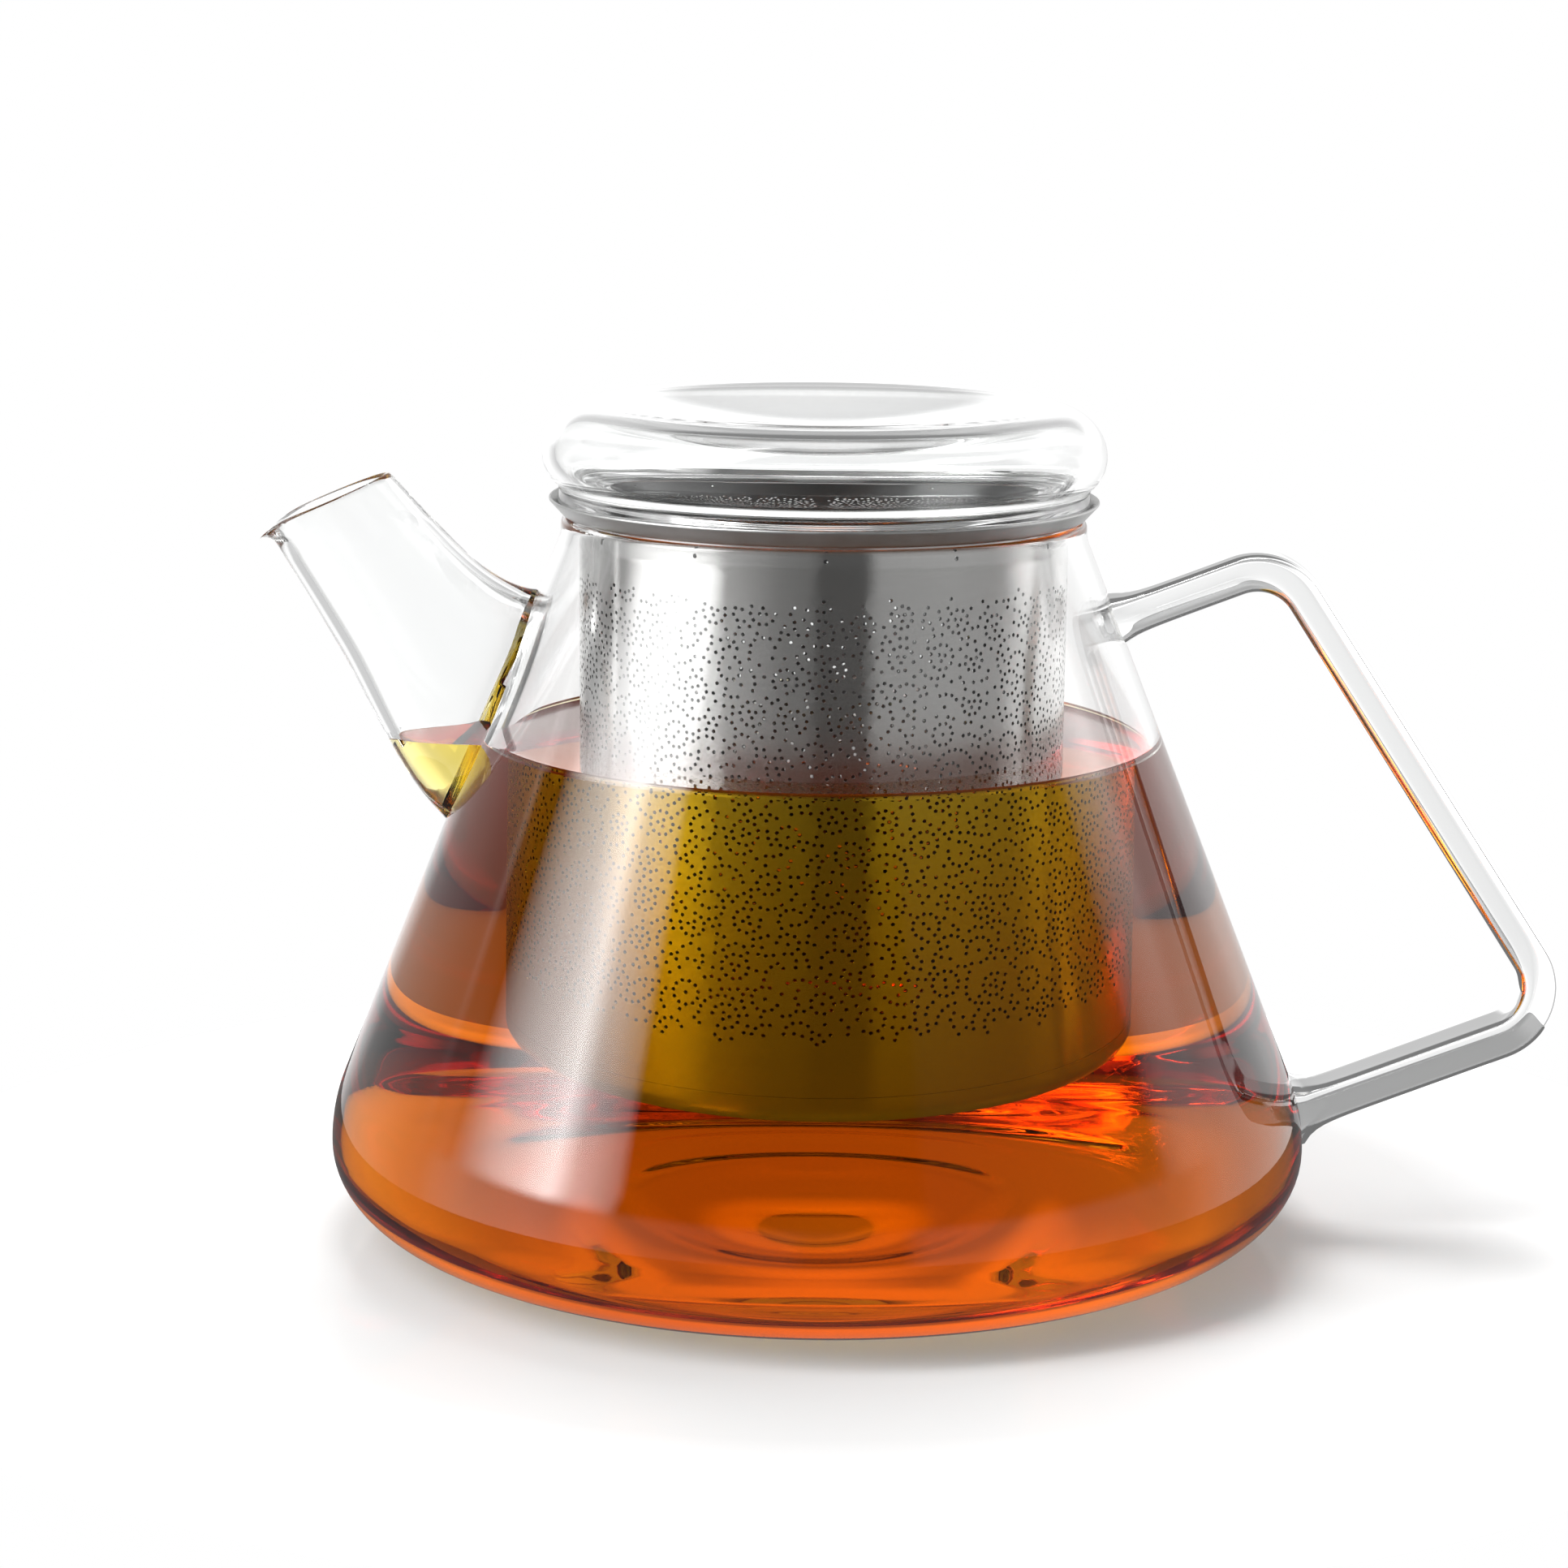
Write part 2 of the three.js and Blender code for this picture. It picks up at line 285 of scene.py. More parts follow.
def floor_rise(radius):
    """How far the floor inside is above its own edge: a shallow pan with a ring and a low boss in it."""
    share = min(max((50 * MM - radius) / (10 * MM), 0), 1)
    pan = -PAN_DEPTH * share * share * (3 - 2 * share)
    ring = 0.75 * MM * math.exp(-(((radius - 28 * MM) / (4 * MM)) ** 2))
    boss = 1.6 * MM * math.exp(-((radius / (13 * MM)) ** 2))
    return pan + ring + boss


def vessel_shell():
    """The blown vessel, with its base pushed in a little underneath and uneven inside."""
    rim = WALL / 2
    outside = vessel_outline(0, 0)
    inside = vessel_outline(-WALL, BASE_THICKNESS)[::-1]
    base = [(radius, base_hollow(radius)) for radius in base_steps(HOLLOW_RADIUS)]
    floor = [(radius, BASE_THICKNESS + floor_rise(radius)) for radius in reversed(base_steps(FLOOR_RADIUS))]
    lip = arc((NECK_RADIUS - rim, RIM_HEIGHT - rim), (rim, rim), 0, 180, 10)
    return turned("glass_pot", even(base + outside + lip + inside + floor))


def spline_point(points, along):
    """A point on the smooth curve through the given points, along running from 0 to 1."""
    place = along * (len(points) - 1)
    index = min(int(place), len(points) - 2)
    t = place - index
    before = points[max(index - 1, 0)]
    after = points[min(index + 2, len(points) - 1)]
    start, end = points[index], points[index + 1]
    coordinates = []
    for p0, p1, p2, p3 in zip(before, start, end, after):
        v0, v1 = (p2 - p0) / 2, (p3 - p1) / 2
        coordinates.append(
            (2 * p1 - 2 * p2 + v0 + v1) * t ** 3 + (-3 * p1 + 3 * p2 - 2 * v0 - v1) * t ** 2 + v0 * t + p1
        )
    return Vector((coordinates[0], 0, coordinates[1])) * MM


def spout_ring(along, inset, flare=0):
    """The spout's oval at a place from its mouth, 0, to inside the vessel, 1. It is smaller all round by
    inset, spread out by flare at the vessel's wall, and drawn out into a beak at the mouth."""
    top = spline_point(SPOUT_UPPER_EDGE, along)
    bottom = spline_point(SPOUT_LOWER_EDGE, along)
    centre = (top + bottom) / 2
    rise = top - centre
    rise *= 1 - inset / rise.length
    widening = along * along * (3 - 2 * along)
    half_width = SPOUT_MOUTH_HALF_WIDTH + (SPOUT_ROOT_HALF_WIDTH - SPOUT_MOUTH_HALF_WIDTH) * widening - inset
    ring = []
    for point in range(SPOUT_POINTS):
        angle = 2 * math.pi * point / SPOUT_POINTS
        drawn_out = max(0, -math.sin(angle)) ** 6 * max(0, 1 - along / 0.2) ** 1.5
        side = Vector((0, half_width * math.cos(angle), 0))
        ring.append(centre + rise * math.sin(angle) + side + SPOUT_BEAK * drawn_out)
    return flared(ring, centre, flare, 2.4 * MM) if flare else ring


def spout_outside():
    """The spout's outer skin, with the mouth's edge rounded."""
    rings = [spout_ring(0, 0.4 * MM), spout_ring(0.008, 0.1 * MM)]
    for section in range(SPOUT_SECTIONS + 1):
        rings.append(spout_ring(0.02 + 0.98 * section / SPOUT_SECTIONS, 0, 1 * MM))
    return lofted("spout", rings)


def spout_bore(extra, overshoot):
    """The way through the spout, with the wall thinner at the mouth. The bore is wider by extra, and its
    first ring stands off the mouth by overshoot."""
    first = spout_ring(0, SPOUT_LIP / 2 - extra)
    axis = (spline_point(SPOUT_UPPER_EDGE, 0) - spline_point(SPOUT_LOWER_EDGE, 0)).normalized()
    away = Vector((-axis.z, 0, axis.x)) * overshoot
    rings = [[point + away for point in first], first, spout_ring(0.01, 0.85 * SPOUT_LIP - extra)]
    for section in range(SPOUT_SECTIONS + 1):
        along = 0.025 + 0.975 * section / SPOUT_SECTIONS
        wall = SPOUT_LIP + (WALL - SPOUT_LIP) * min(1, along * 4)
        rings.append(spout_ring(along, wall - extra))
    return lofted("bore", rings)


def handle_line():
    """The handle's centre line as points a short step apart, with round corners."""
    corners = [Vector((x, 0, z)) * MM for x, z in HANDLE_ROUTE]
    line = [corners[0]]
    for before, corner, after in zip(corners, corners[1:], corners[2:]):
        into = (corner - before).normalized()
        out = (after - corner).normalized()
        turn = into.angle(out)
        start = corner - into * HANDLE_CORNER * math.tan(turn / 2)
        inwards = Vector((into.z, 0, -into.x))
        centre = start + inwards * HANDLE_CORNER
        steps = 20
        for step in range(steps + 1):
            bend = Matrix.Rotation(turn * step / steps, 3, "Y")
            line.append(centre + bend @ (-inwards * HANDLE_CORNER))
    line.append(corners[-1])
    points = even([tuple(point) for point in line], 1.4 * MM)
    return [Vector(point) for point in points]


def handle_rings():
    """The bar's section, a rectangle with very round corners, along its centre line."""
    power = 2 / HANDLE_SQUARENESS
    ring_points = 96
    line = handle_line()
    rings = []
    for index, centre in enumerate(line):
        ahead = line[min(index + 1, len(line) - 1)] - line[max(index - 1, 0)]
        side = Vector((ahead.z, 0, -ahead.x)).normalized()
        ring = []
        for point in range(ring_points):
            angle = 2 * math.pi * point / ring_points
            across = math.copysign(abs(math.cos(angle)) ** power, math.cos(angle))
            through = math.copysign(abs(math.sin(angle)) ** power, math.sin(angle))
            sideways = Vector((0, across * HANDLE_HALF_WIDTH, 0))
            ring.append(centre + side * through * HANDLE_HALF_THICKNESS + sideways)
        flare = HANDLE_LOWER_FLARE if index > len(line) / 2 else HANDLE_UPPER_FLARE
        rings.append(flared(ring, centre, flare, 2.2 * MM))
    return rings


def glass_pot():
    """The vessel, spout and handle as one body, with the way through the spout cut last."""
    middle_of_wall = -WALL / 2
    spout = carve(spout_outside(), vessel_core(middle_of_wall), "DIFFERENCE")
    handle = carve(lofted("handle", handle_rings()), vessel_core(middle_of_wall), "DIFFERENCE")
    pot = carve(vessel_shell(), spout, "UNION")
    carve(pot, handle, "UNION")
    carve(pot, spout_bore(0, 2 * MM), "DIFFERENCE")
    return sharpen(pot)


# ---- Tea ----

def tea_surface_cutter():
    """A block whose top is the tea's level, curved up a little where it meets the glass, except at the
    spout, where the tea runs on through."""
    flat_within, fade = 15, 9  # degrees from the middle of the spout
    wall_radius = next(r for (r, z) in even(vessel_outline(-WALL, BASE_THICKNESS)) if z > TEA_LEVEL)
    far = 110 * MM
    radii = [far]
    radii += [wall_radius + step * MM for step in range(24, 0, -1)]
    radii += [wall_radius - step * 0.3 * MM for step in range(0, 14)]
    radii += [wall_radius * share for share in (0.85, 0.6, 0.3, 0.02)]
    rings = []
    for height in (-10 * MM, TEA_LEVEL):
        rings.append([Vector((far * math.cos(a), far * math.sin(a), height)) for a in circle_angles()])
    for radius in radii[1:]:
        ring = []
        for angle in circle_angles():
            x, y = radius * math.cos(angle), radius * math.sin(angle)
            lift = MENISCUS_RISE * math.exp(-max(0, wall_radius - radius) / MENISCUS_REACH)
            from_spout = abs(math.degrees(math.atan2(y, -x)))
            share = min(max((from_spout - flat_within) / fade, 0), 1)
            ring.append(Vector((x, y, TEA_LEVEL + lift * share)))
        rings.append(ring)
    return lofted("level", rings)


def tea_fill():
    """The tea in the vessel and the spout's root. Its open surface has a material of its own."""
    offset = -WALL + TEA_OVERLAP
    bottom = BASE_THICKNESS - TEA_OVERLAP
    outline = vessel_outline(offset, bottom)
    top = RIM_HEIGHT
    floor = [(radius, bottom + floor_rise(radius)) for radius in base_steps(FLOOR_RADIUS)]
    tea = turned("tea_fill", even(floor + outline + [(outline[-1][0], top), (0, top)]))
    carve(tea, spout_bore(TEA_OVERLAP, 2 * MM), "UNION")
    carve(tea, tea_surface_cutter(), "INTERSECT")
    for face in tea.data.polygons:
        open_top = face.normal.z > 0.2 and face.center.z > TEA_LEVEL - 0.1 * MM
        face.material_index = 0 if open_top else 1
    return sharpen(tea, 30)


def wet_where_covered(pot, tea):
    """Marks the glass that the tea lies against, which bends light much less than dry glass."""
    shape = bmesh.new()
    shape.from_mesh(pot.data)
    parts = shape.verts[:] + shape.edges[:] + shape.faces[:]
    bmesh.ops.bisect_plane(shape, geom=parts, plane_co=(0, 0, TEA_LEVEL), plane_no=(0, 0, 1))
    shape.to_mesh(pot.data)
    shape.free()
    for face in pot.data.polygons:
        if face.center.z > TEA_LEVEL:
            face.material_index = 0
            continue
        _, nearest, outwards, _ = tea.closest_point_on_mesh(face.center)
        covered = (face.center - nearest).dot(outwards) < 0
        face.material_index = 1 if covered else 0


# ---- Infuser basket ----

HOLE_RADIUS = 0.355 * MM
VENT_RADIUS = 0.4 * MM
HOLE_SIDES = 5
HOLE_COUNT = 8100
HOLE_SPACING = 1.07 * MM
PERFORATED_FROM = 39 * MM
PERFORATED_TO = 112.6 * MM
SHEET_LENGTH = 2 * math.pi * BASKET_RADIUS


class HoleField:
    """Hole places on the unrolled sheet, none closer to another than it is allowed to be."""

    def __init__(self):
        self.cell = 1.5 * MM
        self.cells = {}
        self.places = []

    def has_room(self, u, z, distance):
        column, row = int(u // self.cell), int(z // self.cell)
        for i in (column - 1, column, column + 1):
            for j in (row - 1, row, row + 1):
                for other in self.cells.get((i, j), ()):
                    if math.dist(other, (u, z)) < distance:
                        return False
        return True

    def add(self, u, z, distance):
        """Adds the place if it has room, and says whether it did."""
        seam = 1.2 * MM
        ragged = 1.3 * MM * (1 + math.sin(u / MM * 0.9) * math.sin(u / MM * 0.37 + 1))
        inside = seam < u < SHEET_LENGTH - seam and PERFORATED_FROM + ragged < z < PERFORATED_TO - ragged
        if not inside or len(self.places) >= HOLE_COUNT or not self.has_room(u, z, distance):
            return False
        self.cells.setdefault((int(u // self.cell), int(z // self.cell)), []).append((u, z))
        self.places.append((u, z))
        return True


def random_place(rng):
    return rng.uniform(0, SHEET_LENGTH), rng.uniform(PERFORATED_FROM, PERFORATED_TO)


def ring_centres(rng):
    """Places for the small dotted rings, spread evenly but at random."""
    centres = []
    for _ in range(12000):
        place = random_place(rng)
        if all(math.dist(place, other) > 5.9 * MM for other in centres):
            centres.append(place)
    return centres


def add_ring(field, rng, centre):
    """A small ring of holes with a few more inside it."""
    radius = rng.uniform(1.65, 2.15) * MM
    count = round(2 * math.pi * radius / (1.12 * MM))
    start = rng.uniform(0, 2 * math.pi)
    missing = rng.choice((0, 0, 1, 2))
    for hole in range(count - missing):
        angle = start + 2 * math.pi * hole / count
        field.add(centre[0] + radius * math.cos(angle), centre[1] + radius * math.sin(angle), HOLE_SPACING)
    inner = rng.choice((1, 2, 3, 3))
    for hole in range(inner):
        angle = start + 2 * math.pi * hole / inner
        reach = 0 if inner == 1 else 0.62 * MM
        field.add(centre[0] + reach * math.cos(angle), centre[1] + reach * math.sin(angle), 0.9 * MM)


def add_trail(field, rng):
    """A wandering trail of holes that stops where it meets others."""
    u, z = random_place(rng)
    heading = rng.uniform(0, 2 * math.pi)
    bend = rng.choice((-1, 1)) * rng.uniform(0.25, 0.6)
    while field.add(u, z, HOLE_SPACING):
        u += 1.13 * MM * math.cos(heading)
        z += 1.13 * MM * math.sin(heading)
        heading += bend


def hole_places():
    rng = random.Random(11)
    field = HoleField()
    for centre in ring_centres(rng):
        add_ring(field, rng, centre)
    for _ in range(9000):
        add_trail(field, rng)
    for _ in range(30000):
        field.add(*random_place(rng), 1.36 * MM)
    return field.places


def vent_places():
    """The row of small vents under the collar, one of them in front. The one at the seam is left out."""
    count = 12
    height = SLEEVE_HIGH.z - 2.1 * MM
    return [(SHEET_LENGTH * vent / count, height) for vent in range(1, count)]


def unrolled_sheet(places):
    """The flat sheet as points and triangles, with a hole at each place.
    Returns the points, the triangles and each hole's rim."""
    low, high = SLEEVE_LOW.z, SLEEVE_HIGH.z
    columns = 150
    points = []
    edges = []
    rims = []
    for radius, hole_list in ((HOLE_RADIUS, places), (VENT_RADIUS, vent_places())):
        for u, z in hole_list:
            first = len(points)
            rim = list(range(first, first + HOLE_SIDES))
            for side in range(HOLE_SIDES):
                angle = 2 * math.pi * side / HOLE_SIDES + len(rims)
                points.append((u + radius * math.cos(angle), z + radius * math.sin(angle)))
            edges += list(zip(rim, rim[1:] + rim[:1]))
            rims.append(rim)
    holes_end = len(points)
    rows = [low, low + 2 * MM, low + 4 * MM, PERFORATED_FROM - MM, PERFORATED_TO + MM, high - 5 * MM, high]
    for z in rows:
        points += [(SHEET_LENGTH * column / columns, z) for column in range(columns + 1)]
    seam_rows = 34
    for row in range(1, seam_rows):
        z = PERFORATED_FROM - MM + (PERFORATED_TO - PERFORATED_FROM + 2 * MM) * row / seam_rows
        points += [(0, z), (SHEET_LENGTH, z)]
    flat = [Vector(point) for point in points]
    made = delaunay_2d_cdt(flat, edges, [], 0, 1e-9, True)
    source = [group[0] for group in made[3]]
    hole_of = [index // HOLE_SIDES if index < holes_end else -1 for index in source]
    triangles = []
    for corners in made[2]:
        owners = {hole_of[corner] for corner in corners}
        if len(owners) == 1 and owners != {-1}:
            continue
        triangles.append(tuple(source[corner] for corner in corners))
    return points, triangles, rims


def basket_sleeve():
    """The perforated sheet, rolled up and closed at the back."""
    points, triangles, rims = unrolled_sheet(hole_places())
    back = math.pi / 2  # the seam faces +Y
    count = len(points)
    corners = []
    for radius in (BASKET_RADIUS, BASKET_RADIUS - BASKET_SHEET):
        for u, z in points:
            angle = back + u / BASKET_RADIUS
            corners.append(Vector((radius * math.cos(angle), radius * math.sin(angle), z)))
    faces = list(triangles)
    faces += [tuple(corner + count for corner in reversed(triangle)) for triangle in triangles]
    for rim in rims:
        for a, b in zip(rim, rim[1:] + rim[:1]):
            faces.append((b, a, a + count, b + count))
    low, high = SLEEVE_LOW.z, SLEEVE_HIGH.z
    for z in (low, high):
        edge = sorted(index for index, point in enumerate(points) if abs(point[1] - z) < 1e-7)
        for a, b in zip(edge, edge[1:]):
            faces.append((a, b, b + count, a + count) if z == high else (b, a, a + count, b + count))
    sleeve = mesh_piece("perforated_sleeve", corners, faces)
    weld_seam(sleeve)
    # The inside face and the hole walls take the second material, the darker steel: painted shade.
    for face in sleeve.data.polygons:
        face.material_index = 0 if math.hypot(*face.center.xy) > BASKET_RADIUS - 0.1 * MM else 1
    return sharpen(sleeve, 30)


def weld_seam(piece):
    """Joins the two ends of the rolled sheet and leaves all its faces pointing out."""
    shape = bmesh.new()
    shape.from_mesh(piece.data)
    bmesh.ops.remove_doubles(shape, verts=shape.verts, dist=1e-6)
    bmesh.ops.recalc_face_normals(shape, faces=shape.faces)
    shape.to_mesh(piece.data)
    shape.free()


def basket_floor():
    """A flat disc pressed up into a round edge that meets the sleeve."""
    turn = 3 * MM
    corner = (BASKET_RADIUS - turn, BASKET_BOTTOM + turn)
    edge = SLEEVE_LOW.z - 0.05 * MM
    inner_turn = turn - BASKET_SHEET
    profile = [(0, BASKET_BOTTOM)]
    profile += arc(corner, (turn, turn), -90, 0, 12)
    profile += [(BASKET_RADIUS, edge), (BASKET_RADIUS - BASKET_SHEET, edge)]
    profile += arc(corner, (inner_turn, inner_turn), 0, -90, 12)
    profile += [(0, BASKET_BOTTOM + BASKET_SHEET)]
    return sharpen(turned("pressed_floor", even(profile, 4 * MM)))


def basket_collar():
    """A flat flange on the glass rim that flares up and out to a rolled lip."""
    inner = BASKET_RADIUS - BASKET_SHEET
    foot = COLLAR_FOOT
    low = COLLAR_LOW.z
    high = low + COLLAR_SHEET
    lip = (COLLAR_HIGH.x + 0.15 * MM - COLLAR_SHEET / 2, COLLAR_HIGH.z - COLLAR_SHEET / 2)
    profile = [(inner, low), (foot - 0.5 * MM, low), (foot, low + 0.15 * MM)]
    profile.append((foot + 0.35 * MM, low + 0.5 * MM))
    profile += arc(lip, (COLLAR_LIP_ROUNDING, COLLAR_LIP_ROUNDING), -40, 150, 10)
    profile += [(foot - 0.15 * MM, high + 0.2 * MM), (foot - 0.7 * MM, high), (inner, high)]
    return sharpen(turned("flared_collar", even(profile, 1 * MM)))


# ---- Lid ----

def lid_crown(inset):
    """The outline from the waist over the bulge to the middle of the dished top, moved in by inset."""
    rounding = LID_BULGE_ROUNDING
    reach = (LID_HIGH.x - LID_BULGE[0] - inset, LID_HIGH.z - LID_BULGE[1] - inset)
    points = [(LID_WAIST[0] - inset, LID_WAIST[1])]
    points += arc((LID_HIGH.x - rounding, LID_BULGE[1]), (rounding - inset, rounding - inset), -50, 0, 12)
    points += arc(LID_BULGE, reach, 0, 90, 20)[1:]
    dish_steps = 24
    for step in range(1, dish_steps + 1):
        share = 1 - step / dish_steps
        dish = LID_DISH_DEPTH * (1 - share * share) ** 1.7
        points.append((LID_BULGE[0] * share, LID_HIGH.z - dish - inset))
    return points


def glass_lid():
    """A hollow blown lid: an open plug, a seat ring, a waist, a round bulge and a dished top."""
    wall, plug, seat = LID_WALL, LID_PLUG_RADIUS, LID_SEAT
    neck = 0.8 * MM
    inside = lid_crown(wall)[::-1] + [(42 * MM - wall, 124 * MM), (plug - wall, seat - 0.5 * MM)]
    plug_edge = arc((plug - wall / 2, LID_LOW.z + wall / 2), (wall / 2, wall / 2), -180, 0, 10)
    outside = [(plug, seat - neck)]
    outside += arc((plug + neck, seat - neck), (neck, neck), 180, 90, 5)[1:]
    seat_ring = (LID_SEAT_RADIUS, seat + LID_SEAT_ROUNDING)
    outside += arc(seat_ring, (LID_SEAT_ROUNDING, LID_SEAT_ROUNDING), -90, 30, 9)
    return sharpen(turned("blown_lid", even(inside + plug_edge + outside + lid_crown(0), 1.2 * MM)))


# ---- Materials ----

WHITE = (1, 1, 1, 1)


def new_material(name):
    """A material, its node tree and its main shader."""
    material = bpy.data.materials.new(name)
    material.use_nodes = True
    shader = material.node_tree.nodes["Principled BSDF"]
    return material, material.node_tree, shader


def add_node(tree, kind, values=None):
    """A shader node with some of its inputs set."""
    node = tree.nodes.new("ShaderNode" + kind)
    set_inputs(node, values or {})
    return node


def set_inputs(node, values):
    for name, value in values.items():
        node.inputs[name].default_value = value


def noise(tree, scale, detail, stretch=(1, 1, 1)):
    """Noise fixed to the piece. A larger stretch makes it finer along that axis."""
    place = add_node(tree, "TexCoord")
    stretched = add_node(tree, "Mapping", {"Scale": stretch})
    clouds = add_node(tree, "TexNoise", {"Scale": scale, "Detail": detail})
    tree.links.new(place.outputs["Object"], stretched.inputs["Vector"])
    tree.links.new(stretched.outputs["Vector"], clouds.inputs["Vector"])
    return clouds.outputs["Fac"]


def spread(tree, value, low, high, start=0, end=1):
    """The value turned into a number that goes from low to high as it goes from start to end."""
    limits = {"From Min": start, "From Max": end, "To Min": low, "To Max": high}
    node = add_node(tree, "MapRange", limits)
    tree.links.new(value, node.inputs["Value"])
    return node.outputs["Result"]


def tint(tree, value, low, high):
    """A colour between low and high, by the value."""
    ramp = add_node(tree, "ValToRGB")
    ramp.color_ramp.elements[0].color = low
    ramp.color_ramp.elements[1].color = high
    tree.links.new(value, ramp.inputs["Fac"])
    return ramp.outputs["Color"]


def add_bump(tree, shader, value, strength, distance):
    bump = add_node(tree, "Bump", {"Strength": strength, "Distance": distance})
    tree.links.new(value, bump.inputs["Height"])
    tree.links.new(bump.outputs["Normal"], shader.inputs["Normal"])


def clear_glass(name, ior):
    """Clear blown glass with the faint unevenness of a hand-worked wall."""
    material, tree, shader = new_material(name)
    set_inputs(shader, {"Roughness": 0, "IOR": ior, "Transmission Weight": 1})
    cloudiness = tint(tree, noise(tree, 18, 2), (0.982, 0.99, 0.987, 1), WHITE)
    tree.links.new(cloudiness, shader.inputs["Base Color"])
    add_bump(tree, shader, noise(tree, 28, 1), 0.06, 0.6 * MM)
    return material


def tea_liquid(name, ior):
    """Black tea: clear, and more amber the more of it light goes through. Its open surface bends light,
    and its side bends none, because the glass it lies against does that."""
    material, tree, shader = new_material(name)
    set_inputs(shader, {"Roughness": 0, "IOR": ior, "Transmission Weight": 1})
    cloudiness = tint(tree, noise(tree, 35, 2), (1, 0.985, 0.96, 1), WHITE)
    tree.links.new(cloudiness, shader.inputs["Base Color"])
    depth = add_node(tree, "VolumeAbsorption", {"Color": (0.98, 0.863, 0.02, 1), "Density": 110})
    tree.links.new(depth.outputs["Volume"], tree.nodes["Material Output"].inputs["Volume"])
    return material


def brushed_steel(name, colour, roughness):
    """Stainless sheet brushed round the axis: fine level scratches and a streak of highlight."""
    material, tree, shader = new_material(name)
    set_inputs(shader, {"Metallic": 1, "Anisotropic": 1, "Anisotropic Rotation": 0.25})
    scratches = noise(tree, 1, 3, (90, 90, 9000))
    shaded = add_node(tree, "VectorMath")
    shaded.operation = "SCALE"
    shaded.inputs[0].default_value = colour
    tree.links.new(spread(tree, scratches, 0.93, 1.05), shaded.inputs["Scale"])
    tree.links.new(shaded.outputs["Vector"], shader.inputs["Base Color"])
    uneven = 0.02
    finish = spread(tree, scratches, roughness - uneven, roughness + uneven)
    tree.links.new(finish, shader.inputs["Roughness"])
    add_bump(tree, shader, scratches, 0.08, 0.02 * MM)
    tangent = add_node(tree, "Tangent")
    tangent.direction_type = "RADIAL"
    tangent.axis = "Z"
    tree.links.new(tangent.outputs["Tangent"], shader.inputs["Tangent"])
    return material


def satin_steel():
    """The collar's fine matt finish, a little cloudy."""
    material, tree, shader = new_material("collar_steel")
    set_inputs(shader, {"Metallic": 1})
    clouds = noise(tree, 260, 4)
    colour = tint(tree, clouds, (0.45, 0.45, 0.445, 1), (0.58, 0.58, 0.575, 1))
    tree.links.new(colour, shader.inputs["Base Color"])
    tree.links.new(spread(tree, clouds, 0.36, 0.46), shader.inputs["Roughness"])
    return material


def mix_shaders(tree, share, first, second):
    mix = add_node(tree, "MixShader")
    tree.links.new(share, mix.inputs["Fac"])
    tree.links.new(first, mix.inputs[1])
    tree.links.new(second, mix.inputs[2])
    return mix.outputs["Shader"]


def table_top():
    """A light table with painted light: white to the eye, with soft shadows and a painted glow towards its
    rim that washes the far shadows out.
    Through the glass it is a flat painted glow that reads darker except under the pot, and in mirror images
    a flat glow darker still, a painted reflection. It is very faintly cloudy."""
    material, tree, shader = new_material("table_top")
    set_inputs(shader, {"Roughness": 0.1, "IOR": 1.12, "Emission Color": WHITE})
    place = add_node(tree, "TexCoord")
    radius = add_node(tree, "VectorMath")
    radius.operation = "LENGTH"
    tree.links.new(place.outputs["Object"], radius.inputs[0])
    from_middle = radius.outputs["Value"]
    # The glow the camera sees grows from 0.22 at 0.11 m to 0.6 at 0.165 m and lightens the far shadows:
    # painted light.
    tree.links.new(spread(tree, from_middle, 0.22, 0.6, 0.11, 0.165), shader.inputs["Emission Strength"])
    clouds = add_node(tree, "TexNoise", {"Scale": 9})
    colour = tint(tree, clouds.outputs["Fac"], (0.44, 0.44, 0.44, 1), (0.46, 0.46, 0.46, 1))
    tree.links.new(colour, shader.inputs["Base Color"])
    # Rays that are not camera rays and have not been mirrored, such as those through the glass, see a flat
    # glow, 1.0 under the pot and 0.36 beyond: painted light.
    painted_glow_through_glass = add_node(tree, "Emission")
    tree.links.new(spread(tree, from_middle, 1.0, 0.36, 0.06, 0.1), painted_glow_through_glass.inputs["Strength"])
    # Mirror images see a flat 0.17 glow in place of the table's own shading: painted reflection.
    painted_reflection_glow = add_node(tree, "Emission", {"Strength": 0.17})
    path = add_node(tree, "LightPath").outputs
    direct = mix_shaders(
        tree, path["Is Camera Ray"], painted_glow_through_glass.outputs["Emission"], shader.outputs["BSDF"]
    )
    whole = mix_shaders(tree, path["Glossy Depth"], direct, painted_reflection_glow.outputs["Emission"])
    tree.links.new(whole, tree.nodes["Material Output"].inputs["Surface"])
    return material


# ---- Assembly ----

def place_piece(piece, body, slot, materials, *nodes):
    """Gives a piece its materials and ties it to a CAD body in place of CAD nodes."""
    indices = [face.material_index for face in piece.data.polygons]
    piece.data.materials.clear()
    for material in materials:
        piece.data.materials.append(material)
    piece.data.polygons.foreach_set("material_index", indices)
    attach(piece, body)
    if nodes:
        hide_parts(*nodes)


